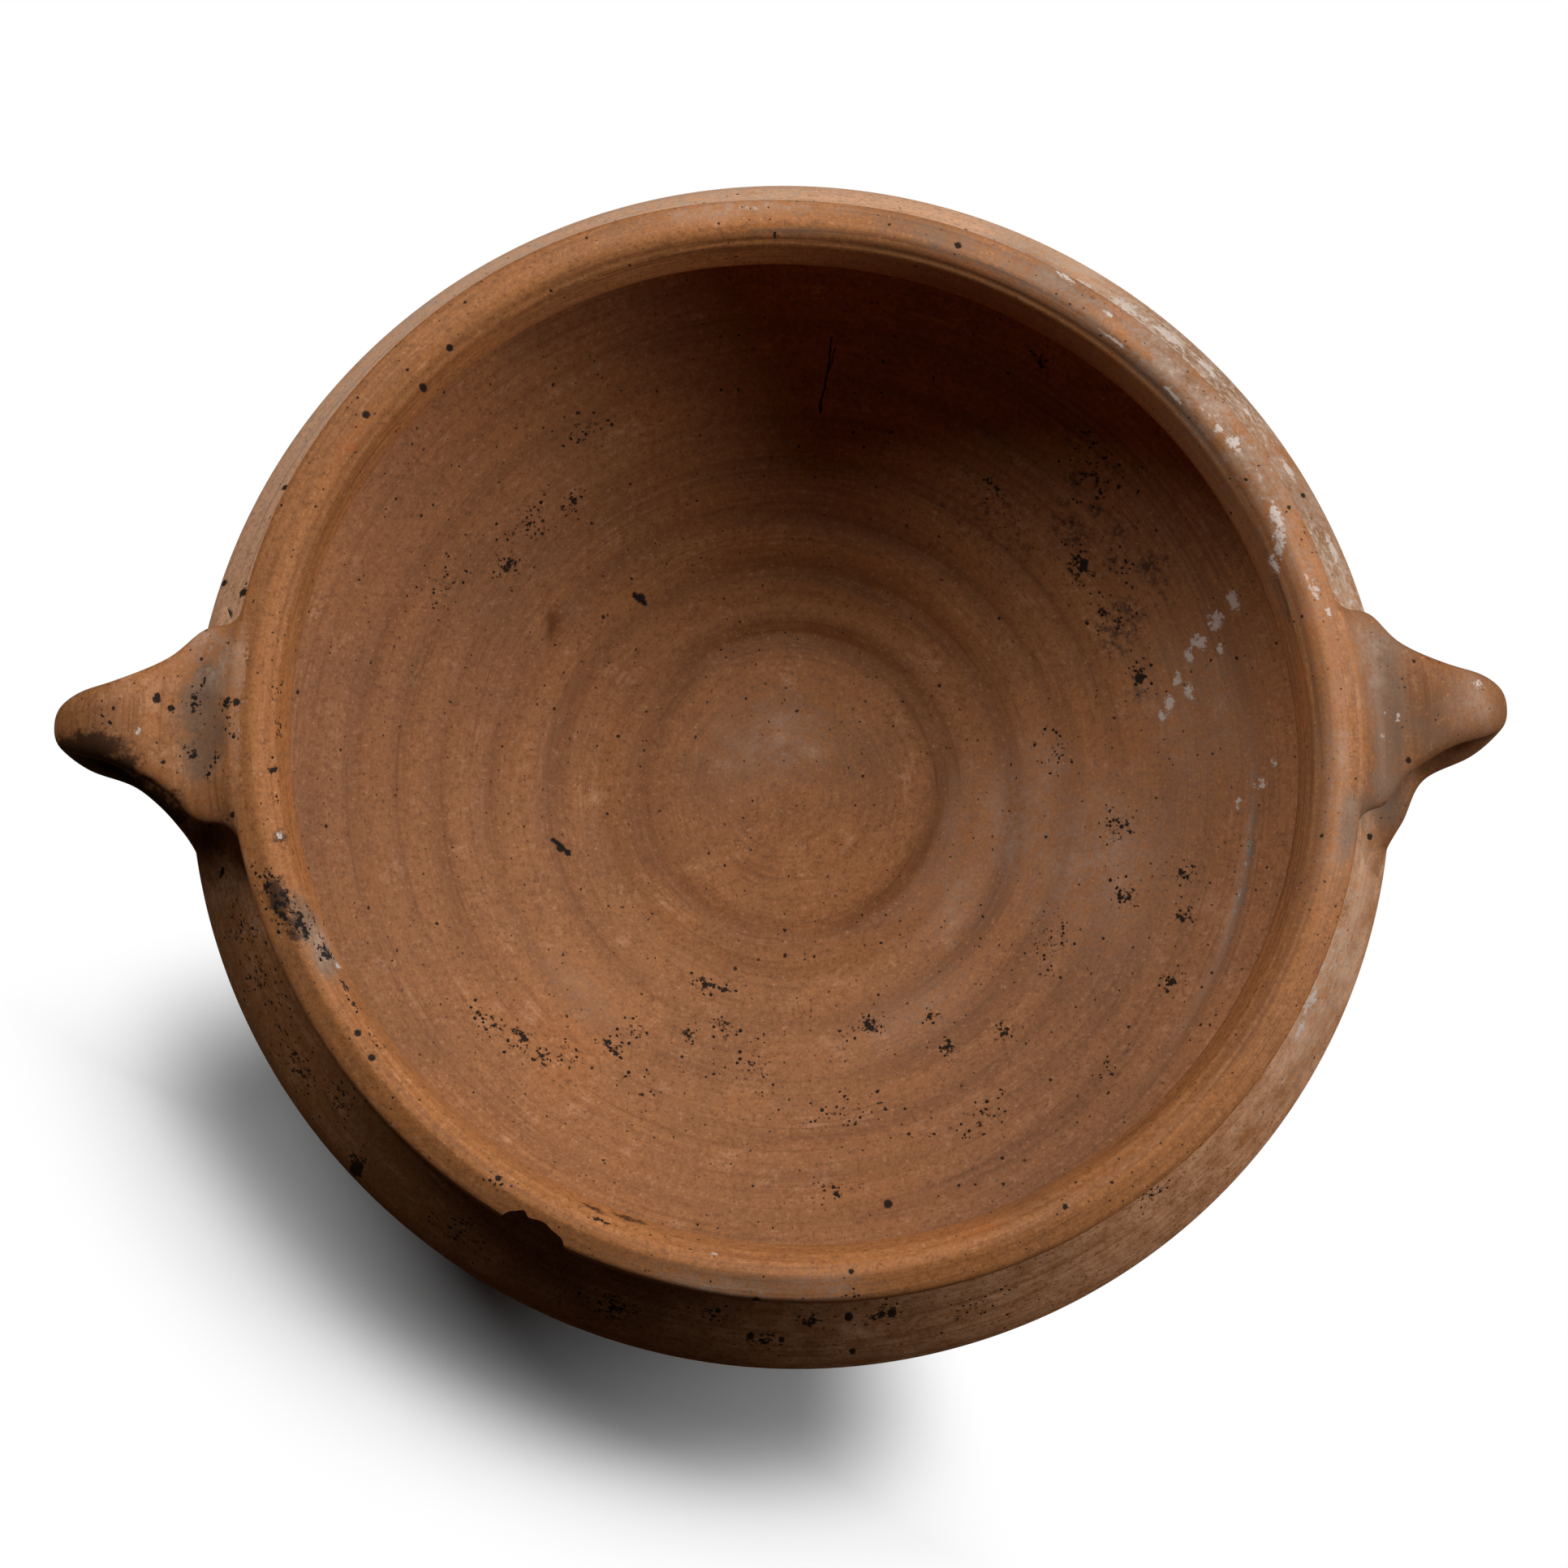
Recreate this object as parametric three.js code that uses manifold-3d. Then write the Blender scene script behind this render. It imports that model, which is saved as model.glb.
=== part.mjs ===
// A wheel-thrown biconical bowl of fired clay with an everted, grooved lip and two vertical strap handles.
// Millimetres, +Z up. The origin is the middle of the flat base that the bowl rests on, and +X runs
// towards the right handle. The pieces are the ones a potter lutes together before firing.

import * as THREE from 'three';
import { mergeVertices } from 'three/addons/utils/BufferGeometryUtils.js';
import Module from 'manifold-3d';

const wasm = await Module();
wasm.setup();
const { clamp, degToRad, lerp } = THREE.MathUtils;

// Heights above the table.
const rimHeight = 102;
const bellyHeight = 52;
const baseThickness = 4.5;

// Radii of the round forms.
const bellyRadius = 134.5;
const baseRadius = 49;
const baseStep = 2;
const lipRadius = 122;
const crestRadius = 116.4;
const grooveRadius = 112.7;
const neckRadius = 109.2;

// Thicknesses of the thrown clay.
const wallThickness = 8;
const floorThickness = 6.5;

// The lip: how far its outer edge, its groove and the edge of the neck lie below the crest, the height of
// its band, how far it overhangs the shoulder, the step beside the groove and the squareness of its roll.
const lipDrop = 9.5;
const grooveDrop = 2.4;
const neckDrop = 12;
const lipBand = 16;
const lipOverhang = 4.6;
const neckFlare = 1.7;
const grooveStep = 0.5;
const rollSquareness = 2.8;

// The potter's finger ridges, a spiral on the floor and the lower wall.
const ridgePitch = 11;
const ridgeDepth = 0.5;

// How far from round the thrown clay dried: a share of the radius, and the direction of the long axis.
const ovalAtBelly = 0.006;
const ovalAtLip = 0.0165;
const ovalAxis = degToRad(-27);

// The old chip in the edge of the lip.
const chipAzimuth = degToRad(242.5);
const chipLength = 17;
const chipDepth = 3.4;
const chipHeight = 28;

// The strap handles: a dished plate at the lip, a rounded bar at the bend and a wide foot on the shoulder.
// The stand-off is measured from the widest ring of the bowl to the outside of the bend.
const leftAzimuth = degToRad(177.9);
const rightAzimuth = degToRad(3.9);
const leftStandOff = 28.3;
const rightStandOff = 23.6;
const leftFootShift = 0.5;
const rightFootShift = -2.2;
const handleDrop = 5.5;
const handleFootRise = 12;
const handlePlateWidth = 44;
const handleBarWidth = 14;
const handleFootWidth = 46;
const handleStrapThickness = 8.5;
const handleBarThickness = 10.5;
const handleDish = 1.8;
const handleRootDepth = 6;
const handleClearance = 0.3;

const roundSteps = 56;
const lipEdgeHeight = rimHeight - lipDrop;
const lipJointHeight = rimHeight - lipBand;
const lipJointOuter = lipRadius - lipOverhang;
const lipJointInner = neckRadius + neckFlare;

// Share of the radius by which a ring at this height is longer or shorter than round.
function ovalAt(height) {
  const low = clamp(height / bellyHeight, 0, 1) * ovalAtBelly;
  const high = clamp((height - bellyHeight) / (lipEdgeHeight - bellyHeight), 0, 1);
  return low + high * (ovalAtLip - ovalAtBelly);
}

// A turned solid from a profile of radius and height, taken up its outside and down its inside.
// The ridges lie only on the vertices that ridgeShare marks.
function turned(profile, ridgeShare = () => 0) {
  const geometry = new THREE.LatheGeometry(profile, roundSteps);
  geometry.rotateX(Math.PI / 2);
  const place = geometry.attributes.position;
  for (let i = 0; i < place.count; i += 1) {
    const x = place.getX(i);
    const y = place.getY(i);
    const z = place.getZ(i);
    const azimuth = Math.atan2(y, x);
    const radius = Math.hypot(x, y);
    const stretch = 1 + ovalAt(z) * Math.cos(2 * (azimuth - ovalAxis));
    const wave = Math.cos((2 * Math.PI * radius) / ridgePitch - azimuth);
    place.setXYZ(i, x * stretch, y * stretch, z + ridgeShare(radius, z) * ridgeDepth * wave);
  }
  return asClosed(geometry);
}

function asClosed(geometry) {
  geometry.deleteAttribute('normal');
  geometry.deleteAttribute('uv');
  return mergeVertices(geometry, 1e-4);
}

function toSolid(geometry) {
  const triVerts = new Uint32Array(geometry.index.array);
  const vertProperties = new Float32Array(geometry.attributes.position.array);
  return new wasm.Manifold(new wasm.Mesh({ numProp: 3, vertProperties, triVerts }));
}

function toGeometry(solid) {
  const mesh = solid.getMesh();
  const geometry = new THREE.BufferGeometry();
  geometry.setAttribute('position', new THREE.BufferAttribute(mesh.vertProperties, 3));
  geometry.setIndex(new THREE.BufferAttribute(mesh.triVerts, 1));
  return geometry;
}

function points(...pairs) {
  return pairs.map(([radius, height]) => new THREE.Vector2(radius, height));
}

// The outside of the lower cone, which steepens towards the belly, and of the shoulder above it.
const lowerOutside = new THREE.CubicBezierCurve(...points(
  [baseRadius - baseStep, baseThickness],
  [baseRadius + (bellyRadius - baseRadius) * 0.38, baseThickness + (bellyHeight - baseThickness) * 0.26],
  [bellyRadius - 3, bellyHeight - (bellyHeight - baseThickness) * 0.34],
  [bellyRadius, bellyHeight],
));
const shoulderPull = (lipJointHeight - bellyHeight) * 0.24;
const upperOutside = new THREE.CubicBezierCurve(...points(
  [bellyRadius, bellyHeight],
  [bellyRadius - 0.5, bellyHeight + shoulderPull],
  [lipJointOuter + (bellyRadius - lipJointOuter) * 0.25, lipJointHeight - shoulderPull],
  [lipJointOuter, lipJointHeight],
));
const upperInside = new THREE.CubicBezierCurve(...points(
  [lipJointInner, lipJointHeight],
  [lipJointInner + 3.4, lipJointHeight - shoulderPull],
  [bellyRadius - wallThickness - 0.5, bellyHeight + shoulderPull],
  [bellyRadius - wallThickness, bellyHeight],
));

// Height of the inside of the lower cone over a radius: its outside moved in by the wall's thickness,
// and a floor that runs nearly level to the middle.
const insideCourse = lowerOutside.getPoints(80).map((point, i) => {
  const along = lowerOutside.getTangent(i / 80);
  return new THREE.Vector2(point.x - along.y * wallThickness, point.y + along.x * wallThickness);
});
const floorHeight = baseThickness + floorThickness;
function insideHeight(radius) {
  const next = insideCourse.findIndex((point) => point.x > radius);
  if (next < 0) return bellyHeight;
  if (next === 0) {
    const share = radius / insideCourse[0].x;
    return lerp(floorHeight, insideCourse[0].y, share * share);
  }
  const a = insideCourse[next - 1];
  const b = insideCourse[next];
  return lerp(a.y, b.y, (radius - a.x) / (b.x - a.x));
}

function baseDisc() {
  const edge = baseThickness * 0.25;
  return turned(points(
    [0, 0],
    [baseRadius - edge, 0],
    [baseRadius, edge],
    [baseRadius, baseThickness - edge],
    [baseRadius - edge / 2, baseThickness],
    [0, baseThickness],
  ));
}

function lowerWall() {
  const topInside = bellyRadius - wallThickness;
  const step = ridgePitch / 4;
  const inside = points([topInside, bellyHeight]);
  for (let radius = topInside - step / 4; radius > step / 2; radius -= step) {
    inside.push(new THREE.Vector2(radius, Math.min(insideHeight(radius), bellyHeight - 0.5)));
  }
  const profile = [
    new THREE.Vector2(0, baseThickness),
    ...lowerOutside.getPoints(14),
    ...inside,
    new THREE.Vector2(0, floorHeight),
  ];
  const fade = (radius, height) => {
    const onInside = height > insideHeight(radius) - wallThickness / 3 && radius < topInside - step / 8;
    if (!onInside) return 0;
    return Math.min(1, radius / ridgePitch) * Math.min(1, (topInside - radius) / ridgePitch);
  };
  return turned(profile, fade);
}

function upperWall() {
  const outside = upperOutside.getPoints(10);
  const inside = upperInside.getPoints(8);
  return turned([...outside, ...inside, outside[0].clone()]);
}

// The section of the lip: up its rolled outside to the crest, then over the groove and down to the sharp
// inner edge of the neck.
const rollSteps = 6;
const lipRoll = [];
for (let k = 0; k <= rollSteps; k += 1) {
  const turn = (k / rollSteps) * (Math.PI / 2);
  lipRoll.push([
    crestRadius + (lipRadius - crestRadius) * Math.cos(turn) ** (2 / rollSquareness),
    lipEdgeHeight + lipDrop * Math.sin(turn) ** (2 / rollSquareness),
  ]);
}
const overhangHeight = lipEdgeHeight - lipJointHeight;
const lipOutside = points(
  [lipJointOuter, lipJointHeight],
  [lipRadius - lipOverhang * 0.55, lipJointHeight + overhangHeight * 0.16],
  [lipRadius - lipOverhang * 0.15, lipJointHeight + overhangHeight * 0.52],
  ...lipRoll,
);
const crestWidth = crestRadius - grooveRadius;
const neckBand = grooveRadius - neckRadius;
const grooveHeight = rimHeight - grooveDrop;
const neckHeight = rimHeight - neckDrop;
const lipInside = points(
  [crestRadius - crestWidth * 0.5, rimHeight - grooveDrop * 0.2],
  [crestRadius - crestWidth * 0.82, rimHeight - grooveDrop * 0.56],
  [grooveRadius, grooveHeight],
  [grooveRadius - grooveStep, grooveHeight + grooveStep * 0.5],
  [grooveRadius - grooveStep * 2, grooveHeight - grooveStep],
  [neckRadius + neckBand * 0.32, lerp(neckHeight, grooveHeight, 0.5)],
  [neckRadius + neckBand * 0.06, lerp(neckHeight, grooveHeight, 0.16)],
  [neckRadius, neckHeight],
  [lipJointInner, lipJointHeight],
);

function lip() {
  const band = toSolid(turned([...lipOutside, ...lipInside, lipOutside[0].clone()]));
  const scoop = new THREE.SphereGeometry(1, 20, 14);
  const scoopReach = chipDepth * 1.4;
  scoop.scale(scoopReach, chipLength / 2, chipHeight / 2);
  const edgeRadius = lipRadius * (1 + ovalAtLip * Math.cos(2 * (chipAzimuth - ovalAxis)));
  scoop.translate(edgeRadius - chipDepth + scoopReach, 0, lipEdgeHeight);
  scoop.rotateZ(chipAzimuth);
  return toGeometry(band.subtract(toSolid(asClosed(scoop))));
}

// The whole outside of the body as one turned solid, grown by a clearance, which shapes a handle's roots.
function bodyOutline(clearance) {
  const outside = [
    ...lowerOutside.getPoints(14),
    ...upperOutside.getPoints(10).slice(1),
    ...lipOutside.slice(1),
  ];
  const grown = outside.map((point) => new THREE.Vector2(point.x + clearance, point.y));
  const above = rimHeight + handleBarThickness;
  return turned([
    new THREE.Vector2(0, baseThickness),
    ...grown,
    new THREE.Vector2(crestRadius + clearance, above),
    new THREE.Vector2(0, above),
  ]);
}

// The stations of a strap: its middle line as distance out, sideways and up, with its width, thickness
// and dish at each. It runs out from the lip as a plate, tapers round the bend and flares to its foot.
function strapStations(standOff, footShift) {
  const top = rimHeight - handleDrop - handleStrapThickness / 2;
  const foot = bellyHeight + handleFootRise;
  const bendRadius = (top - foot) / 2;
  const middle = foot + bendRadius;
  const bend = Math.max(bellyRadius, lipRadius) + standOff - handleBarThickness / 2 - bendRadius;
  const plateEnd = lerp(lipRadius, bend, 0.35);
  const bar = handleBarWidth;
  const plate = handlePlateWidth;
  const taper = (share) => lerp(bar, plate, share);
  const strap = handleStrapThickness;
  const round = handleBarThickness;
  const station = (out, side, up, width, thickness, dish) => ({ out, side, up, width, thickness, dish });
  return [
    station(lipRadius - handleRootDepth, 0, top, plate, strap, 0),
    station(lipRadius, 0, top, plate, strap, 0.4),
    station(plateEnd, 0, top, taper(0.93), strap, 1),
    station(lerp(plateEnd, bend, 0.55), 0, top, taper(0.5), strap, 0.7),
    station(bend + bendRadius * 0.28, 0, top - bendRadius * 0.05, taper(0.17), round, 0.1),
    station(bend + bendRadius * 0.78, 0, middle + bendRadius * 0.63, taper(0.02), round, 0),
    station(bend + bendRadius, 0, middle, bar, round, 0),
    station(bend + bendRadius * 0.74, footShift / 2, middle - bendRadius * 0.67, taper(0.08), round, 0),
    station(bend + bendRadius * 0.1, footShift, foot, taper(0.26), strap, 0),
    station(bellyRadius, footShift, foot - 1, handleFootWidth * 0.84, strap, 0),
    station(bellyRadius - handleRootDepth, footShift, foot - 2.5, handleFootWidth, strap, 0),
    station(bellyRadius - handleRootDepth * 2, footShift, foot - 4, handleFootWidth, strap, 0),
  ];
}

// One strap lofted through its stations. Each section is a flattened round, hollowed on top by its dish.
function strapHandle({ azimuth, standOff, footShift }) {
  const stations = strapStations(standOff, footShift);
  const course = new THREE.CatmullRomCurve3(
    stations.map(({ out, side, up }) => new THREE.Vector3(out, side, up)),
    false,
    'centripetal',
  );
  const sections = 40;
  const sides = 16;
  const corners = [];
  for (let i = 0; i <= sections; i += 1) {
    const share = (i / sections) * (stations.length - 1);
    const low = Math.min(Math.floor(share), stations.length - 2);
    const between = (size) => lerp(stations[low][size], stations[low + 1][size], share - low);
    const centre = course.getPoint(i / sections);
    const along = course.getTangent(i / sections);
    const up = new THREE.Vector3(-along.z, 0, along.x).normalize();
    for (let j = 0; j < sides; j += 1) {
      const turn = (j / sides) * 2 * Math.PI;
      const across = Math.sign(Math.cos(turn)) * Math.abs(Math.cos(turn)) ** 0.85;
      const rise = Math.sign(Math.sin(turn)) * Math.abs(Math.sin(turn)) ** 0.85;
      const hollow = between('dish') * handleDish * Math.max(0, rise) * (1 - across * across);
      const lift = rise * (between('thickness') / 2) - hollow;
      corners.push(
        centre.x + up.x * lift,
        centre.y + across * (between('width') / 2),
        centre.z + up.z * lift,
      );
    }
  }
  const faces = [];
  for (let i = 0; i < sections; i += 1) {
    for (let j = 0; j < sides; j += 1) {
      const a = i * sides + j;
      const b = i * sides + ((j + 1) % sides);
      faces.push(a, b, a + sides, b, b + sides, a + sides);
    }
  }
  const end = sections * sides;
  for (let j = 1; j < sides - 1; j += 1) {
    faces.push(0, j + 1, j);
    faces.push(end, end + j, end + j + 1);
  }
  const geometry = new THREE.BufferGeometry();
  geometry.setAttribute('position', new THREE.Float32BufferAttribute(corners, 3));
  geometry.setIndex(faces);
  geometry.rotateZ(azimuth);
  return toGeometry(toSolid(geometry).subtract(toSolid(bodyOutline(handleClearance))));
}

const clay = (colour) => new THREE.MeshStandardMaterial({ color: colour, roughness: 0.72, metalness: 0 });

const group = new THREE.Group();
group.name = 'biconical_bowl';

function add(name, geometry, colour) {
  const mesh = new THREE.Mesh(geometry, clay(colour));
  mesh.name = name;
  group.add(mesh);
}

add('base_disc', baseDisc(), '#8a5a3c');
add('lower_wall', lowerWall(), '#9c6a4a');
add('upper_wall', upperWall(), '#a8765a');
add('lip', lip(), '#a06a40');
const leftHandle = { azimuth: leftAzimuth, standOff: leftStandOff, footShift: leftFootShift };
const rightHandle = { azimuth: rightAzimuth, standOff: rightStandOff, footShift: rightFootShift };
add('handle_left', strapHandle(leftHandle), '#a36f48');
add('handle_right', strapHandle(rightHandle), '#a36f48');

export default group;
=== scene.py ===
import math

import bpy
import numpy as np
from mathutils import Matrix, Vector


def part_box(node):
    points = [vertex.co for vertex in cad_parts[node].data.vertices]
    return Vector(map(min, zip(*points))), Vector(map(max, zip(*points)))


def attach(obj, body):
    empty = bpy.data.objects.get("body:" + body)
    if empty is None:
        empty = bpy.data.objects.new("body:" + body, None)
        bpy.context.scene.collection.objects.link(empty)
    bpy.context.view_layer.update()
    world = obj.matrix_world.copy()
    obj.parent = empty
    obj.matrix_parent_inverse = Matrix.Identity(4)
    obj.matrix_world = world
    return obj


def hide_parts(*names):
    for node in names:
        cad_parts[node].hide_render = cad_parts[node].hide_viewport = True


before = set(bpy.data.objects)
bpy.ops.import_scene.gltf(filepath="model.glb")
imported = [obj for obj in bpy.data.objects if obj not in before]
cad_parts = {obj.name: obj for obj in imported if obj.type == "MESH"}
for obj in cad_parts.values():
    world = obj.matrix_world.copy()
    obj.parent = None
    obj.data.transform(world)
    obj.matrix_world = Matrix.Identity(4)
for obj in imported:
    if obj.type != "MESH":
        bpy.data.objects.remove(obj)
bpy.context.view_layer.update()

mm = 0.001


# Base disc: a low flat slab of clay under the bowl, turned true on the wheel after the bowl was dry
# enough to be turned over. It is the only part that touches the table. Fired earthenware.
def thrown(name, profile, steps=360):
    """Clay on the wheel: the profile is drawn out point by point and spun round the axis."""
    bpy.ops.object.select_all(action="DESELECT")
    bpy.ops.mesh.primitive_plane_add(size=mm)
    piece = bpy.context.object
    piece.name = name
    bpy.ops.object.mode_set(mode="EDIT")
    bpy.ops.mesh.merge(type="CENTER")
    places = [Vector((radius, 0, height)) for radius, height in profile]
    bpy.ops.transform.translate(value=places[0])
    for here, there in zip(places, places[1:]):
        bpy.ops.mesh.extrude_region_move(TRANSFORM_OT_translate={"value": there - here})
    bpy.ops.mesh.select_all(action="SELECT")
    bpy.ops.mesh.spin(steps=steps, angle=math.tau, center=(0, 0, 0), axis=(0, 0, 1))
    bpy.ops.mesh.select_all(action="SELECT")
    bpy.ops.mesh.remove_doubles(threshold=0.001 * mm)
    bpy.ops.mesh.normals_make_consistent(inside=False)
    bpy.ops.object.mode_set(mode="OBJECT")
    return piece


def corners_of(piece):
    corners = np.empty(len(piece.data.vertices) * 3)
    piece.data.vertices.foreach_get("co", corners)
    return corners.reshape(-1, 3)


def put_corners(piece, corners):
    piece.data.vertices.foreach_set("co", corners.ravel())
    piece.data.update()


lower_low, lower_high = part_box("lower_wall")
lip_low, lip_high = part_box("lip")
belly_height = lower_high.z
rim_height = lip_high.z
lip_edge = rim_height - 9.5 * mm
oval_at_belly = 0.006
oval_at_lip = 0.0165
oval_axis = math.radians(-27)
hand_wander = 0.35 * mm
rim_wander = 0.003


def wander(azimuth, seed):
    """A slow wave round the bowl, between about -1 and 1, where the potter's hand strayed."""
    waves = ((3, 0.4, 1.0), (4, 2.1, 0.8), (6, 4.4, 0.5), (9, 1.2, 0.3), (13, 5.0, 0.2))
    return sum(share * np.sin(turns * azimuth + shift * (seed + 1)) for turns, shift, share in waves) / 2


def hand_made(corners, back=False):
    """Clay dries a little out of round, more at the rim than at the belly, and the rim strays up and
    down. With back it takes such a shape to the true one."""
    x, y, z = corners.T
    azimuth = np.arctan2(y, x)
    low = np.clip(z / belly_height, 0, 1) * oval_at_belly
    high = np.clip((z - belly_height) / (lip_edge - belly_height), 0, 1)
    share = low + high * (oval_at_lip - oval_at_belly)
    stretch = 1 + share * np.cos(2 * (azimuth - oval_axis)) + high * rim_wander * wander(azimuth, 1)
    lift = high * hand_wander * wander(azimuth, 2)
    if back:
        return np.stack([x / stretch, y / stretch, z - lift], axis=1)
    return np.stack([x * stretch, y * stretch, z + lift], axis=1)


def smooth(piece, angle=38):
    bpy.ops.object.select_all(action="DESELECT")
    piece.select_set(True)
    bpy.context.view_layer.objects.active = piece
    bpy.ops.object.shade_smooth_by_angle(angle=math.radians(angle))


class Value:
    """One socket of a clay's shader. Plain arithmetic on it adds Math nodes."""

    def __init__(self, clay, socket):
        self.clay = clay
        self.socket = socket

    def also(self, output):
        """Another output of the same node."""
        return Value(self.clay, self.socket.node.outputs[output])

    def math(self, operation, *values, clamp=False):
        settings = {"operation": operation, "use_clamp": clamp}
        return self.clay.node("Math", settings, dict(enumerate(values)))

    def __add__(self, other):
        return self.math("ADD", self, other)

    def __sub__(self, other):
        return self.math("SUBTRACT", self, other)

    def __mul__(self, other):
        return self.math("MULTIPLY", self, other)

    def __truediv__(self, other):
        return self.math("DIVIDE", self, other)

    def __rsub__(self, other):
        return self.math("SUBTRACT", other, self)

    __radd__ = __add__
    __rmul__ = __mul__

    def root(self):
        return self.math("SQRT", self)

    def size(self):
        return self.math("ABSOLUTE", self)

    def most(self, other):
        return self.math("MAXIMUM", self, other)

    def least(self, other):
        return self.math("MINIMUM", self, other)

    def fade(self, start, end):
        """0 at start and before it, 1 at end and past it, eased between; start may be the larger."""
        settings = {"interpolation_type": "SMOOTHSTEP"}
        low, high = min(start, end), max(start, end)
        eased = self.clay.node("MapRange", settings, {"Value": self, "From Min": low, "From Max": high})
        return eased if start < end else 1 - eased


class Clay:
    """The shader of one piece of clay, in the bowl's own coordinates, in metres."""

    def __init__(self, name):
        self.material = bpy.data.materials.new(name)
        self.material.use_nodes = True
        self.tree = self.material.node_tree
        self.tree.nodes.clear()
        self.place = self.node("TexCoord", {}, {}, "Object")
        self.x = self.node("SeparateXYZ", {}, {0: self.place})
        self.y = self.x.also(1)
        self.z = self.x.also(2)
        self.radius = (self.x * self.x + self.y * self.y).root() + 1e-5
        self.torn = self.bent(0.9 * mm, 0.45 * mm)

    def node(self, kind, settings, inputs, output=0):
        """A node by its type, with its settings, the values or links of its sockets, and an output."""
        made = self.tree.nodes.new("ShaderNode" + kind)
        for key, value in settings.items():
            setattr(made, key, value)
        for key, value in inputs.items():
            if isinstance(value, Value):
                self.tree.links.new(value.socket, made.inputs[key])
            else:
                made.inputs[key].default_value = value
        return Value(self, made.outputs[output])

    def bent(self, size, reach):
        """The place shifted about by noise of this size, so that what it draws has torn edges."""
        inputs = {"Vector": self.place, "Scale": 1 / size, "Detail": 3, "Roughness": 0.65}
        wobble = self.node("TexNoise", {}, inputs, 1)
        shift = self.node("VectorMath", {"operation": "SUBTRACT"}, {0: wobble, 1: (0.5, 0.5, 0.5)})
        inputs = {0: shift, 1: (2 * reach, 2 * reach, 2 * reach), 2: self.place}
        return self.node("VectorMath", {"operation": "MULTIPLY_ADD"}, inputs)

    def grain(self, size, detail, rough):
        """Noise from 0 to 1 whose lumps are about this size."""
        inputs = {"Vector": self.place, "Scale": 1 / size, "Detail": detail, "Roughness": rough}
        return self.node("TexNoise", {}, inputs)

    def towards(self, azimuth):
        """1 on the side of the bowl that faces this way, -1 on the other."""
        angle = math.radians(azimuth)
        return (self.x * math.cos(angle) + self.y * math.sin(angle)) / self.radius

    def streaks(self, width, turn, detail, seed=0.0):
        """Marks that the wheel drew round the clay: narrow across, long round the axis."""
        vector = self.node("CombineXYZ", {}, {
            0: self.radius / width,
            1: self.z / width,
            2: self.x / self.radius * turn + seed,
        })
        inputs = {"Vector": vector, "W": self.y / self.radius * turn, "Scale": 1.0,
                  "Detail": detail, "Roughness": 0.6}
        return self.node("TexNoise", {"noise_dimensions": "4D"}, inputs)

    def specks(self, spacing, size, share, seed=0.0):
        """Small grains with torn edges: one to a cell, kept in this share of the cells."""
        shift = (seed, seed * 2, seed * 3)
        moved = self.node("VectorMath", {"operation": "ADD"}, {0: self.torn, 1: shift})
        distance = self.node("TexVoronoi", {}, {"Vector": moved, "Scale": 1 / spacing})
        own = self.node("SeparateColor", {}, {0: distance.also(1)})
        own_size = own.also(1)
        reach = (own_size * own_size * 1.1 + 0.3) * (size / spacing)
        inside = (reach - distance) / (size / spacing * 0.3)
        kept = (share - own) * 40
        return inside.math("MULTIPLY", inside, kept.math("ADD", kept, 0, clamp=True), clamp=True)

    def layer(self, name):
        """Spots painted on the piece's corners, from 0 to 1."""
        return self.node("Attribute", {"attribute_name": name}, {}, 2)

    def lumps(self, places):
        """1 inside some single marks; each is an azimuth in degrees, a radius and a reach in mm."""
        flat = self.node("VectorMath", {"operation": "MULTIPLY"}, {0: self.torn, 1: (1, 1, 0)})
        nearest = None
        for azimuth, radius, reach in places:
            angle = math.radians(azimuth)
            spot = (radius * mm * math.cos(angle), radius * mm * math.sin(angle), 0)
            away = self.node("VectorMath", {"operation": "DISTANCE"}, {0: flat, 1: spot}, 1)
            away = away / (reach * mm)
            nearest = away if nearest is None else nearest.least(away)
        return nearest.fade(1.25, 0.75)

    def crack(self, start, end, width):
        """1 along a thin break between two places, each x and y in mm, its width in mm too."""
        ax, ay = start
        bx, by = end
        length = math.hypot(bx - ax, by - ay) * mm
        ux, uy = (bx - ax) * mm / length, (by - ay) * mm / length
        torn = self.node("SeparateXYZ", {}, {0: self.bent(3 * mm, 0.8 * mm)})
        x, y = torn - ax * mm, torn.also(1) - ay * mm
        along = x * ux + y * uy
        past = (along - length).most(along * -1).most(0)
        aside = (x * uy - y * ux).size() + past
        return aside.fade(width * mm, width * mm * 0.3)

    def mix(self, share, under, over):
        settings = {"data_type": "RGBA", "blend_type": "MIX", "clamp_factor": True}
        return self.node("Mix", settings, {0: share, 6: under, 7: over}, 2)

    def finish(self, colour, height, roughness):
        """The material itself, a dull skin with this colour, fine relief in mm and roughness."""
        normal = self.node("Bump", {}, {"Strength": 0.5, "Distance": mm, "Height": height})
        shader = self.node("BsdfPrincipled", {}, {
            "Base Color": colour,
            "Roughness": roughness,
            "Normal": normal,
            "Specular IOR Level": 0.22,
        })
        surface = self.tree.nodes.new("ShaderNodeOutputMaterial")
        self.tree.links.new(shader.socket, surface.inputs["Surface"])
        return self.material


orange_clay = (0.37, 0.14, 0.042, 1)
tan_clay = (0.33, 0.142, 0.055, 1)
pink_clay = (0.66, 0.36, 0.205, 1)
brown_clay = (0.17, 0.062, 0.020, 1)
dark_grit = (0.010, 0.006, 0.004, 1)
lime_white = (0.56, 0.47, 0.41, 1)
film_white = (0.50, 0.37, 0.28, 1)
slip_grey = (0.155, 0.093, 0.058, 1)
burnt_and_shade_brown = (0.045, 0.017, 0.007, 1)
rust_red = (0.40, 0.11, 0.025, 1)


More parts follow.
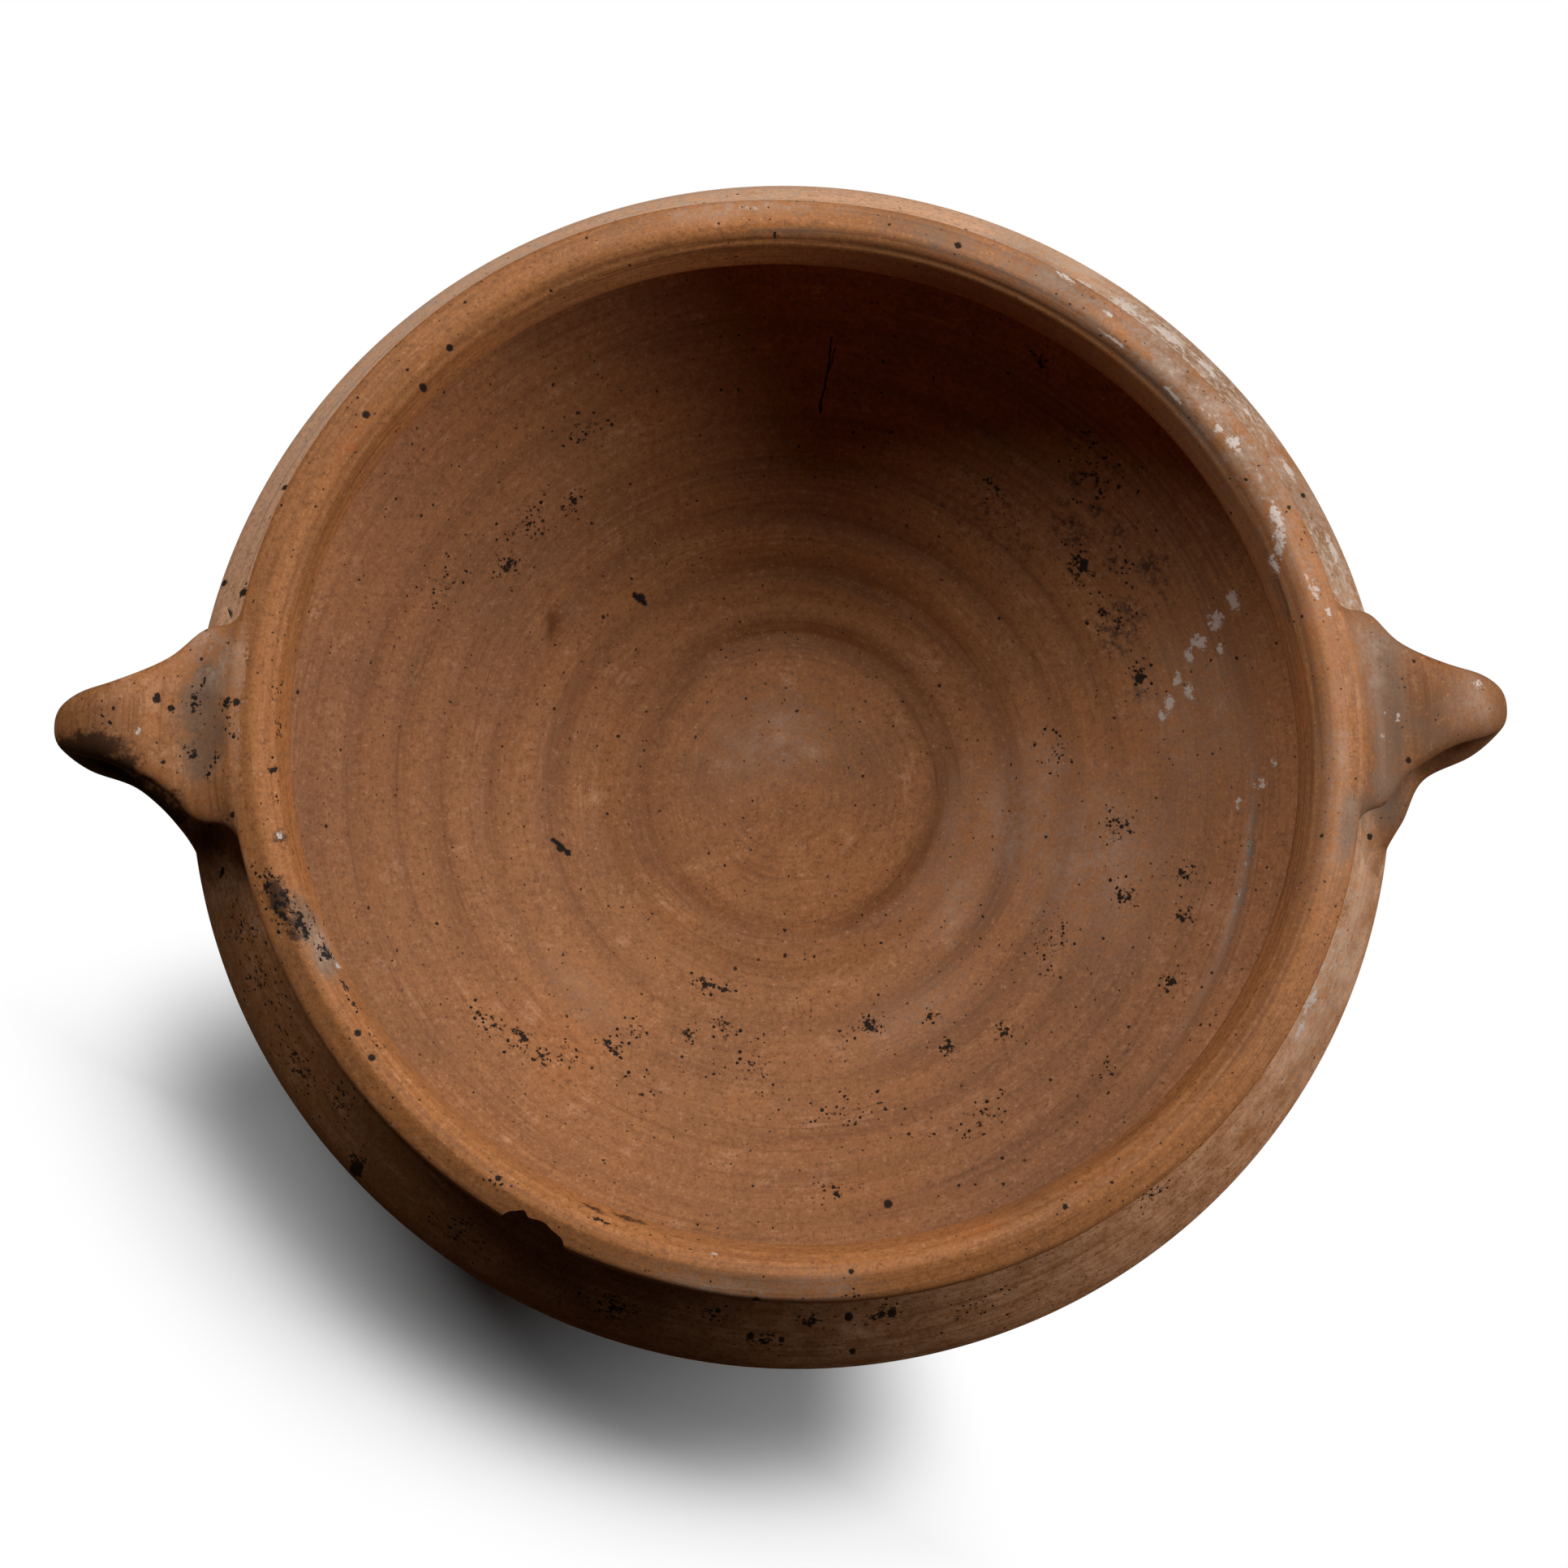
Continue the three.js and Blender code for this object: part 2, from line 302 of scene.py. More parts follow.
def painted(piece, layer, spots, share=1):
    """Paints soft spots on a piece, over what the layer already has: azimuth in degrees, radius, reach
    round and reach across in mm, and a strength where it isn't whole. Share scales them by corner."""
    falloff = 0.7
    x, y, z = corners_of(piece).T
    radius = np.hypot(x, y) / mm
    azimuth = np.arctan2(y, x)
    paint = np.zeros_like(radius)
    for turn, far, around, across, *strength in spots:
        aside = np.angle(np.exp(1j * (azimuth - math.radians(turn)))) * far / around
        out = (radius - far) / across
        spot = np.exp(-falloff * (aside ** 2 + out ** 2))
        paint = np.maximum(paint, spot * (strength[0] if strength else 1))
    layers = piece.data.attributes
    tone = (layers.get(layer) or layers.new(layer, "FLOAT", "POINT")).data
    before = np.zeros_like(paint)
    tone.foreach_get("value", before)
    tone.foreach_set("value", np.maximum(before, paint * share))


def fired_ground(clay, warm, pale, lumps=(), streak_width=1.3 * mm, cracks=(), stained=0.0, brushed=1.0):
    """Bare earthenware: warm where it fired hotter, wiped by the wheel, full of fine dark grit, and with
    what the ground left on it; some burnt patches are painted shade, some paleness painted light."""
    # Grains of four sizes, the first as wide as a hand, and two sizes of marks of the wheel.
    patches = clay.grain(34 * mm, 5, 0.6)
    cloud = clay.grain(8 * mm, 5, 0.68)
    streak = clay.streaks(streak_width, 1.0, 4)
    thread = clay.streaks(0.45 * mm, 2.0, 2, 7.0)
    fine = clay.grain(0.7 * mm, 4, 0.7)
    crumbs = clay.grain(1.7 * mm, 4, 0.72)
    # Firing colours, mottled in patches and streaks, and darker where a finger pressed.
    groove = clay.layer("pressed") * (cloud + patches * 0.9 - 0.45)
    colour = clay.mix((patches - 0.5) * 2.4 + (cloud - 0.5) * 0.9 + warm, tan_clay, orange_clay)
    colour = clay.mix((cloud - 0.5) * 2.3 + (streak - 0.5) * -0.9 * brushed + pale, colour, pink_clay)
    colour = clay.mix(streak.fade(0.48, 0.75) * 0.45 + groove, colour, brown_clay)
    browned = (patches - 0.52) * -2.0 + (thread - 0.5) * 0.9 * brushed + stained
    colour = clay.mix(browned, colour, brown_clay)
    wiped = clay.layer("brown") * ((streak - 0.5) * 4.0 + (thread - 0.5) * 2.5 + cloud * 0.9)
    colour = clay.mix(wiped, colour, brown_clay)
    colour = clay.mix((fine - 0.48) * 2.8 + (crumbs - 0.5) * 3.0, colour, brown_clay)
    colour = clay.mix((0.44 - fine) * 2.2 + (0.45 - crumbs) * 1.6, colour, pink_clay)
    # Stains on the clay; the burnt patches are partly painted shade.
    flecks = clay.layer("rust") * ((thread - 0.5) * 5.0 + (crumbs - 0.5) * 6.0 + 0.2)
    colour = clay.mix(flecks * 0.8, colour, rust_red)
    slip = (clay.layer("grey") * 1.3 + (cloud - 0.5) * 0.9 + (crumbs - 0.5) * 0.5 - 0.3).fade(0.0, 0.7)
    colour = clay.mix(slip * (0.72 + (fine - 0.5) * 1.2), colour, slip_grey)
    # Burnt patches: fire clouds and soot, and painted shade on the left handle's bar where it turns from
    # the lamps and in the groove under the neck.
    burnt_and_shade = (clay.layer("burnt_and_shade") * 1.3 + (cloud - 0.5) * 2.0 + (crumbs - 0.5) * 1.6 - 0.4).fade(0.0, 0.6)
    colour = clay.mix(burnt_and_shade * 0.93, colour, burnt_and_shade_brown)
    film = clay.layer("film") * (streak * 0.9 + cloud * 1.6 + crumbs * 2.0 - 1.9)
    bloom = (clay.layer("film") + (crumbs - 0.5) * 2.6 + (thread - 0.5) * 1.8 - 0.9).fade(0.0, 0.4)
    colour = clay.mix(film + bloom * 0.5, colour, film_white)
    # Dark grains, soot, single lumps and cracks.
    grit = clay.specks(1.5 * mm, 0.24 * mm, 0.62)
    coarse = clay.specks(3.0 * mm, 0.36 * mm, (cloud - 0.5) * 1.6 + 0.6, 0.37)
    cluster = clay.specks(0.85 * mm, 0.4 * mm, clay.layer("soot") - 0.1, 0.71)
    clot = (clay.layer("soot") + (crumbs - 0.5) * 2.8 - 0.85).fade(0.0, 0.1)
    dark = (grit * 0.8).most(coarse * 0.92).most(cluster).most(clot * 0.97)
    if lumps:
        dark = dark.most(clay.lumps(lumps) * 0.97)
    for start, end, width in cracks:
        dark = dark.most(clay.crack(start, end, width))
    colour = clay.mix(dark, colour, dark_grit)
    # Lime, then the fine relief and the dullness.
    lime = (clay.layer("lime") * 1.6 + (crumbs - 0.5) * 2.6 + (fine - 0.5) * 1.6 - 0.95).fade(0.0, 0.4)
    colour = clay.mix(lime * 0.85, colour, lime_white)
    height = streak * 0.14 + thread * 0.07 + fine * 0.16 - dark * 0.2 + lime * 0.12 - slip * fine * 0.2
    roughness = 0.6 + (fine - 0.5) * 0.3 + lime * 0.15 + dark * 0.25
    return colour, height, roughness


disc_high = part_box("base_disc")[1]
disc_radius = disc_high.x
disc_edge = 1.2 * mm
disc = thrown("base_disc_clay", [
    (0, 0),
    (disc_radius - disc_edge, 0),
    (disc_radius - disc_edge * 0.3, disc_edge * 0.3),
    (disc_radius, disc_edge),
    (disc_radius, disc_high.z - disc_edge),
    (disc_radius - disc_edge * 0.5, disc_high.z),
    (0, disc_high.z),
], 240)
smooth(disc)
disc_clay = Clay("base_clay")
disc.data.materials.append(disc_clay.finish(*fired_ground(disc_clay, 0.35, 0.0)))
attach(disc, "root")
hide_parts("base_disc")


# Lower wall: the floor and the lower cone, opened and pulled up on the wheel by one finger, which
# left a spiral of grooves inside. Fired earthenware, browner inside where the bowl was used.
def bezier(start, pull, push, end, count):
    """Points along a drawn curve, both ends included."""
    t = np.linspace(0, 1, count)[:, None]
    ends = [np.array(point, float) for point in (start, pull, push, end)]
    return ((1 - t) ** 3 * ends[0] + 3 * (1 - t) ** 2 * t * ends[1]
            + 3 * (1 - t) * t ** 2 * ends[2] + t ** 3 * ends[3])


belly_radius = 134.5 * mm
wall = 8 * mm
floor_thickness = 6.5 * mm
foot_height = lower_low.z
foot_radius = disc_radius - 2 * mm
wall_rise = belly_height - foot_height
cone_outside = bezier(
    (foot_radius, foot_height),
    (disc_radius + (belly_radius - disc_radius) * 0.38, foot_height + wall_rise * 0.26),
    (belly_radius - 3 * mm, belly_height - wall_rise * 0.34),
    (belly_radius, belly_height),
    90,
)
along = np.gradient(cone_outside, axis=0)
along /= np.linalg.norm(along, axis=1)[:, None]
inside_course = cone_outside + np.stack([-along[:, 1], along[:, 0]], axis=1) * wall
floor_height = foot_height + floor_thickness


def inside_height(radius):
    """Height of the inside of the lower cone, level towards the middle of the floor."""
    edge = inside_course[0]
    level = floor_height + (edge[1] - floor_height) * (radius / edge[0]) ** 2
    slope = np.interp(radius, inside_course[:, 0], inside_course[:, 1])
    return np.where(radius < edge[0], level, slope)


inside_radii = np.arange(belly_radius - wall - 0.2 * mm, 0.4 * mm, -0.9 * mm)
inside = [(r, min(float(inside_height(r)), belly_height - 0.1 * mm)) for r in inside_radii]
lower = thrown("lower_wall_clay", [
    (0, foot_height),
    *cone_outside[::3],
    tuple(cone_outside[-1]),
    (belly_radius - wall, belly_height),
    *inside,
    (0, floor_height),
], 400)

# Finger grooves from the middle out: radius at the near left, radius at the far right, depth and how
# much deeper the far side is.
finger_grooves = (
    (10.0, 8.0, 0.10, 0.0),
    (21.0, 20.0, 0.16, 0.0),
    (33.0, 37.5, 0.42, 1.3),
    (42.0, 46.0, 0.08, 0.0),
    (56.0, 51.5, 0.34, 0.6),
    (70.0, 63.5, 0.36, 0.2),
    (82.0, 75.0, 0.32, 0.0),
    (91.5, 85.5, 0.26, 0.0),
    (101.0, 95.0, 0.36, 0.0),
    (110.0, 105.0, 0.30, 0.0),
)
groove_reach = 2.9 * mm
groove_darkens = 0.55 * mm
near_left = math.radians(235)
corners = corners_of(lower)
x, y, z = corners.T
radius = np.hypot(x, y)
azimuth = np.arctan2(y, x)
on_inside = (z > inside_height(radius) - wall / 3) & (radius < belly_radius - wall - 0.1 * mm)
nearness = (1 + np.cos(azimuth - near_left)) / 2
pressed = np.zeros_like(radius)
for turn, (near, far, depth, extra) in enumerate(finger_grooves):
    middle = (far + (near - far) * nearness + 0.7 * wander(azimuth, turn + 3)) * mm
    strength = depth * (1 + 0.6 * wander(azimuth, turn + 20)) + extra * (1 - nearness)
    pressed += strength * mm * np.exp(-np.abs((radius - middle) / groove_reach) ** 1.5)
nudge_azimuth, nudge_radius = math.radians(146), 67.5 * mm
nudge_across, nudge_along, nudge_depth = 1.7 * mm, 4.2 * mm, 1.5 * mm
nudge = ((x - nudge_radius * math.cos(nudge_azimuth)) / nudge_across) ** 2
nudge += ((y - nudge_radius * math.sin(nudge_azimuth)) / nudge_along) ** 2
z = z - on_inside * (pressed + nudge_depth * np.exp(-nudge))
put_corners(lower, hand_made(np.stack([x, y, z], axis=1)))
smooth(lower)
tone = lower.data.attributes.new("pressed", "FLOAT", "POINT")
tone.data.foreach_set("value", np.clip(on_inside * pressed / groove_darkens, 0, 1))
painted(lower, "soot", [
    (247, 49, 3.2, 2.2), (252, 48, 2, 1.6), (289, 58, 3, 2.6), (284, 58, 3, 1.8, 0.8),
    (311, 75, 3, 2.2), (248, 61, 2.4, 2), (238, 66, 3, 2.2, 0.9), (236, 72, 3.4, 2.8),
    (224, 85, 4, 2.6), (228, 84, 4, 2.6, 0.9), (219, 88, 6, 2.6, 0.8), (231, 80, 4, 2.6, 0.8),
    (37, 84, 4.4, 3), (33, 90, 4, 3, 0.8), (28, 84, 6, 4, 0.7), (55, 83, 3, 2), (59, 112, 3, 2.4),
    (17, 84, 3, 2.4), (353, 76, 4, 3.4, 0.85), (342, 81, 3.4, 3.2, 0.9), (347, 93, 2.6, 2.6),
    (341, 95, 2.6, 2.6), (332, 98, 3, 2.4), (317, 97, 3, 2.4, 0.8), (276, 94, 4, 2, 0.8),
    (128, 82, 3, 2.2), (142, 82, 3.4, 2.4), (136, 84, 8, 5, 0.66), (301, 70, 2.6, 2.6),
    (302, 62, 2.2, 2), (8, 62, 5, 4, 0.7), (262, 66, 7, 5, 0.66), (255, 57, 5, 3, 0.7),
    (300, 88, 6, 3, 0.7), (243, 76, 5, 3, 0.7), (150, 92, 8, 4, 0.62), (120, 94, 6, 4, 0.62),
    (330, 70, 7, 5, 0.62), (280, 76, 7, 4, 0.62), (45, 100, 9, 6, 0.66),
])
painted(lower, "lime", [
    (22, 109, 4, 1.4), (20.5, 104, 2.6, 2.4), (19, 99, 2.4, 2), (17.5, 96, 2.2, 1.4),
    (17, 103, 1.8, 1.2), (15, 92, 2, 1.4), (13, 94, 2.2, 1.4), (12, 89, 2.2, 1.6), (10.5, 87, 2.2, 1),
    (359.5, 107, 1.5, 1.8), (357, 102, 1.6, 1.2), (2, 110, 1.6, 0.8),
])
painted(lower, "film", [
    (353, 52, 12, 12, 0.5), (347, 72, 16, 14, 0.5), (10, 95, 16, 12, 0.35), (100, 12, 12, 10, 0.5),
    (225, 68, 10, 4, 0.3), (350, 105.4, 30, 0.9, 0.7), (330, 45, 10, 6, 0.45), (5, 60, 8, 6, 0.5),
    (300, 60, 14, 5, 0.3),
])
painted(lower, "brown", [
    (340, 106, 60, 2.5, 0.6), (30, 100, 40, 14, 0.5), (100, 70, 30, 10, 0.4), (310, 88, 30, 8, 0.3),
])
# The last spot is a dark band in the groove under the neck: a real streak, deepened with painted shade.
painted(lower, "burnt_and_shade", [
    (38, 88, 12, 8, 0.44), (30, 96, 12, 8, 0.4), (15, 83, 5, 4, 0.36), (46, 95, 14, 8, 0.42),
    (25, 86, 12, 10, 0.38), (52, 78, 14, 8, 0.4), (352, 106, 26, 0.9, 0.62),
])
lower_clay = Clay("wall_clay")
wall_cracks = (((9.6, 102), (8.6, 94), 0.35), ((8.8, 95), (7.0, 86), 0.4), ((10.4, 100), (8.4, 93), 0.25),
               ((-36, 45.5), (-33, 43.5), 0.8), ((-54.5, -11.5), (-50.5, -15), 0.7))
wall_marks = (
    (127.6, 56.3, 1.1), (194.5, 54.3, 1.0), (196, 53, 0.8), (17, 84, 1.1), (283, 99, 1.0),
    (37, 85, 1.0),
)
ground = fired_ground(lower_clay, 0.46, -0.16, wall_marks, 1.1 * mm, wall_cracks)
lower.data.materials.append(lower_clay.finish(*ground))
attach(lower, "root")
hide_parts("lower_wall")


# Upper wall: the shoulder, which leans in from the belly to the neck. It was thrown as a second cone
# and luted on at the belly. Fired earthenware, with the palest, pinkest skin of the bowl, made paler
# still on the sides facing the lamps, which is painted light.
joint_height = lip_low.z
lip_radius = 122 * mm
neck_radius = 109.2 * mm
joint_outer = lip_radius - 4.6 * mm
joint_inner = neck_radius + 1.7 * mm
lean = joint_height - belly_height
shoulder_outside = bezier(
    (belly_radius, belly_height),
    (belly_radius - 0.5 * mm, belly_height + lean * 0.24),
    (joint_outer + (belly_radius - joint_outer) * 0.25, joint_height - lean * 0.24),
    (joint_outer, joint_height),
    46,
)
shoulder_inside = bezier(
    (joint_inner, joint_height),
    (joint_inner + 3.4 * mm, joint_height - lean * 0.24),
    (belly_radius - wall - 0.5 * mm, belly_height + lean * 0.24),
    (belly_radius - wall, belly_height),
    30,
)
upper = thrown("upper_wall_clay", [*shoulder_outside, *shoulder_inside, shoulder_outside[0]])
put_corners(upper, hand_made(corners_of(upper)))
smooth(upper)
shoulder_film = [
    (50, 127, 60, 30), (100, 128, 50, 25, 0.8), (15, 128, 40, 25), (340, 126, 26, 9, 0.9),
    (128, 129, 60, 20, 0.85),
]
shoulder_grey = [(45, 126, 34, 12, 0.7), (65, 126, 16, 8, 0.6), (25, 126, 26, 10, 0.7)]
painted(upper, "film", shoulder_film)
painted(upper, "grey", shoulder_grey)
painted(upper, "lime", [
    (54, 128, 5, 2.2), (59, 126, 3.6, 1.4), (49, 129, 6, 1.6), (44, 130, 5, 1.4), (38, 130, 3, 1),
    (31, 130, 4, 1.1), (22, 131, 5, 1.1), (16, 131, 4, 1), (344, 122.6, 6, 0.9), (341, 123.2, 7, 1.1),
    (338, 124.5, 6, 1.4), (335, 126, 5, 1.8, 0.9), (332, 127, 4, 1.6, 0.8), (354, 123, 6, 1.2, 0.9),
])
painted(upper, "soot", [
    (163, 128, 1.8, 1.8), (191, 129, 2.6, 2), (197, 128, 6, 3, 0.8), (223, 131, 3.5, 2.6),
    (235, 128, 6, 4, 0.8), (252, 127, 5, 2.6), (262, 124, 5, 2, 0.8), (272, 124, 4, 1.6),
    (309.5, 124, 3.4, 2.2), (203, 127, 12, 4, 0.7), (212, 128, 10, 4, 0.7), (217, 125, 7, 3, 0.75),
    (279, 124, 5, 2, 0.9), (267, 128, 6, 2, 0.85), (288, 128, 8, 3, 0.66),
])
upper_clay = Clay("shoulder_clay")
shoulder_marks = (
    (165.5, 130.5, 1.7), (163, 127.6, 1.0), (162, 134, 0.8), (191, 129.4, 1.3), (188.5, 127.8, 1.2),
    (151.6, 128.7, 0.7), (223, 132, 1.6), (28, 130, 0.7), (275.6, 123.8, 0.9), (280, 124.2, 1.0),
    (265.8, 127.5, 0.8), (268.9, 128, 0.7), (275.8, 131, 0.7), (262.3, 123, 0.6),
)


def shoulder_tones_and_light(clay):
    """How pink the shoulder is, and how little it is browned: far side most, near right side less. This
    is partly the skin's own colour and partly painted light, paler where the sides face the lamps.
    """
    from_far = (clay.towards(122) * 2.4 - 0.4).most(0).least(1.15)
    from_right = clay.towards(322).most(0)
    return from_far + from_right * 0.4, (from_far + from_right) * -0.8


# Paler and less brown towards the lamps: partly the skin's own colour, partly painted light.
pallor_and_painted_light, browning_and_painted_light = shoulder_tones_and_light(upper_clay)
ground = fired_ground(upper_clay, 0.4, pallor_and_painted_light, shoulder_marks, stained=browning_and_painted_light)
upper.data.materials.append(upper_clay.finish(*ground))
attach(upper, "root")
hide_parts("upper_wall")


# Lip: the thick rim of fired earthenware, rolled out and pressed with a grooved tool while the wheel
# turned. Its inner edge is sharp over the neck, and an old knock took a chip out of its outer edge.
crest_radius = 116.4 * mm
groove_radius = 112.7 * mm
groove_height = rim_height - 2.4 * mm
groove_step = 0.5 * mm
neck_height = rim_height - 12 * mm

# The roll's worn edge, from below upwards: mm in from the widest ring and mm down from the top.
worn_edge = (
    (0, 9.5), (0, 3.7), (0.1, 3.0), (0.35, 2.5), (0.8, 2.1), (1.5, 1.72), (2.4, 1.3), (3.3, 0.88),
    (4.1, 0.5), (4.9, 0.16), (5.6, 0),
)
roll = [(lip_radius - inwards * mm, rim_height - down * mm) for inwards, down in worn_edge]
overhang = lip_radius - joint_outer
lip_outside = [
    (joint_outer, joint_height),
    (lip_radius - overhang * 0.55, joint_height + (lip_edge - joint_height) * 0.16),
    (lip_radius - overhang * 0.15, joint_height + (lip_edge - joint_height) * 0.52),
    *roll,
]
crest_width = crest_radius - groove_radius
neck_band = groove_radius - neck_radius
lip_inside = [
    (crest_radius - crest_width * 0.24, rim_height - 0.16 * mm),
    (crest_radius - crest_width * 0.5, rim_height - 0.5 * mm),
    (crest_radius - crest_width * 0.8, rim_height - 1.25 * mm),
    (groove_radius, groove_height),
    (groove_radius - groove_step, groove_height - groove_step * 0.5),
    (groove_radius - groove_step * 2, groove_height - groove_step * 1.6),
    (neck_radius + neck_band * 0.32, (neck_height + groove_height) / 2),
    (neck_radius + neck_band * 0.06, neck_height + (groove_height - neck_height) * 0.16),
    (neck_radius, neck_height),
    (joint_inner, joint_height),
    (joint_outer, joint_height),
]


def drawn_through(points, step):
    """More points along the straight runs of a section, one to each step."""
    full = [points[0]]
    for a, b in zip(points, points[1:]):
        count = max(1, round(math.dist(a, b) / step))
        full += [(a[0] + (b[0] - a[0]) * k / count, a[1] + (b[1] - a[1]) * k / count)
                 for k in range(1, count + 1)]
    return full


lip = thrown("lip_clay_band", drawn_through([*lip_outside, *lip_inside], 0.7 * mm), 480)
put_corners(lip, hand_made(corners_of(lip)))

# The old chip, two scoops side by side: azimuth in degrees, length along the rim, depth and height.
chip_scoops = ((242.3, 17 * mm, 3.8 * mm, 30 * mm), (240.2, 9 * mm, 4.6 * mm, 26 * mm))
chip_azimuth = math.radians(242.5)
break_turns = (3.1, 9.7, 6.3)
break_roughness = 0.03
edge_radius = lip_radius * (1 + oval_at_lip * math.cos(2 * (chip_azimuth - oval_axis)))
for azimuth, length, depth, height in chip_scoops:
    bpy.ops.object.select_all(action="DESELECT")
    bpy.ops.mesh.primitive_uv_sphere_add(segments=64, ring_count=48, radius=1)
    scoop = bpy.context.object
    reach = depth * 1.4
    scoop_corners = corners_of(scoop)
    scoop_corners *= 1 + break_roughness * np.sin(scoop_corners @ break_turns)[:, None]
    scoop_corners *= (reach, length / 2, height / 2)
    scoop_corners += (edge_radius - depth + reach, 0, lip_edge)
    put_corners(scoop, scoop_corners)
    scoop.data.transform(Matrix.Rotation(math.radians(azimuth), 4, "Z"))
    knock = lip.modifiers.new("knock", "BOOLEAN")
    knock.operation = "DIFFERENCE"
    knock.solver = "EXACT"
    knock.object = scoop
    bpy.ops.object.select_all(action="DESELECT")
    lip.select_set(True)
    bpy.context.view_layer.objects.active = lip
    bpy.ops.object.modifier_apply(modifier="knock")
    bpy.data.objects.remove(scoop)
smooth(lip)
painted(lip, "film", [
    (40, 117, 50, 6, 0.7), (262, 119, 16, 2.5, 0.7), (272, 118, 10, 2.5, 0.6), (95, 119, 20, 2, 0.7),
    (357, 118, 20, 4, 0.5), (203, 111.5, 5, 2, 0.9),
])
painted(lip, "lime", [
    (34.6, 116.5, 2.6, 2), (36.8, 115.5, 1.8, 1), (25.5, 116, 3.2, 1.8), (23.5, 115, 3.2, 1.4),
    (22, 113.5, 3.2, 1), (20.8, 111.8, 3, 1), (16.5, 118, 2.4, 1.4), (18, 117, 1.2, 0.7),
    (14, 119.6, 1.8, 0.9), (60, 119, 3, 0.9), (52, 113, 5, 0.5), (43, 112.8, 4, 0.5),
    (261, 112, 1.3, 0.6), (54, 117, 2, 0.8), (190.3, 113.3, 1.4, 1.0), (206, 110, 1.0, 0.8),
])
painted(lip, "rust", [
    (69, 112, 9, 0.8), (59, 111.5, 9, 0.8), (48, 112, 8, 0.9), (37, 112.5, 7, 0.8), (20, 113, 6, 0.7),
    (7, 111.3, 6, 0.9), (13, 114.7, 4, 0.9), (146, 117, 5, 2, 0.8), (291, 112, 6, 1.2, 0.8),
    (9, 118.6, 3, 1.4, 0.75), (4, 118.6, 4, 2, 0.75), (39, 119.5, 3, 1.4, 0.7),
])
painted(lip, "grey", [
    (205, 112, 4, 2), (352, 121.5, 8, 2.5), (200, 112.8, 6, 2.4), (30, 117, 16, 5, 0.62),
    (45, 118, 18, 5, 0.66), (60, 117, 16, 5, 0.66), (75, 116, 14, 4, 0.55), (45, 112, 30, 1.4, 0.7),
    (90, 113, 16, 1.2, 0.6),
])
painted(lip, "burnt_and_shade", [
    (197, 116.8, 5, 2.6, 0.9), (200.5, 115.5, 4, 2.4, 0.8), (190.3, 113.3, 2.2, 1.8, 0.7),
    (247, 109.6, 3, 0.6, 0.8), (251, 108.8, 4, 0.6, 0.8), (60, 113.4, 26, 0.6, 0.5),
    (20, 111.5, 20, 0.8, 0.5),
])
painted(lip, "brown", [
    (60, 112.5, 60, 1.8), (20, 111.8, 40, 2.2), (100, 112, 50, 1.6, 0.9), (350, 111.5, 40, 2.0, 0.9),
    (320, 111, 40, 1.6, 0.7), (140, 112, 40, 1.4, 0.6), (268, 117, 14, 5, 0.5), (300, 117, 30, 5, 0.25),
    (330, 117, 30, 4, 0.6), (5, 117, 20, 5, 0.6), (45, 117, 50, 5, 0.9), (150, 118, 30, 2.5, 0.4),
    (75, 117, 20, 4, 0.5), (225, 113, 30, 1.5, 0.4), (243, 118.5, 14, 2, 0.6),
])
painted(lip, "soot", [
    (195, 117.8, 3.4, 2.2), (198, 116.4, 4.8, 3), (200.5, 113.6, 4.4, 2.6), (204, 111.2, 3, 1.4),
    (209, 110.5, 2.4, 0.9), (211, 111, 2, 0.8), (216, 111, 3, 0.6), (183, 113.6, 2, 1),
    (248, 111.5, 3, 0.6), (276, 120, 1.5, 0.8), (92, 112, 2, 0.7), (178, 112, 2.4, 0.9),
    (174, 113, 1.8, 0.8), (186, 112.6, 2, 0.8), (236, 115, 3, 2, 0.7),
])
lip_clay = Clay("lip_clay")
lip_marks = (
    (142.5, 117.8, 0.9), (136, 113, 0.8), (131, 115, 0.7), (217, 114, 0.8), (213.9, 113.4, 0.8),
    (236, 114, 0.7), (266, 121, 1.0), (276, 115, 0.6), (72, 115.5, 0.8), (300, 116, 0.6),
)
ground = fired_ground(lip_clay, 0.8, -0.36, lip_marks, 1.1 * mm, brushed=1.5)
lip.data.materials.append(lip_clay.finish(*ground))
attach(lip, "root")
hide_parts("lip")


# Handles: two straps of earthenware, pulled by hand, luted to the lip and the shoulder and smoothed on
# with wet fingers, so that both roots run into the bowl. A dished plate at the lip, a bar at the bend.
plate_width = 44 * mm
bar_width = 14 * mm
foot_width = 46 * mm
strap_thickness = 8.5 * mm
bar_thickness = 10.5 * mm
dish_depth = 1.8 * mm
root_depth = 6 * mm
plate_smoothed = 4.6 * mm
foot_smoothed = 9 * mm
plate_rise = 3.4 * mm
plate_fades = (-4.5 * mm, 0)
root_fades = (-5.5 * mm, -2.5 * mm)
skin_blends = (0.2 * mm, 1.8 * mm)
squareness = 0.85
strap_top = rim_height - 5.5 * mm - strap_thickness / 2
strap_foot = belly_height + 12 * mm
bend_radius = (strap_top - strap_foot) / 2
skin = np.array(drawn_through([*cone_outside[40:], *shoulder_outside, *lip_outside], 0.5 * mm))


def off_bowl(corners):
    """How far points stand off the outside of the bowl, negative inside it."""
    x, y, z = hand_made(corners, back=True).T
    radius = np.hypot(x, y)
    away = np.hypot(radius[:, None] - skin[:, 0], z[:, None] - skin[:, 1]).min(axis=1)
    inside = (radius < np.interp(z, skin[:, 1], skin[:, 0])) & (z < rim_height)
    return np.where(inside, -away, away)


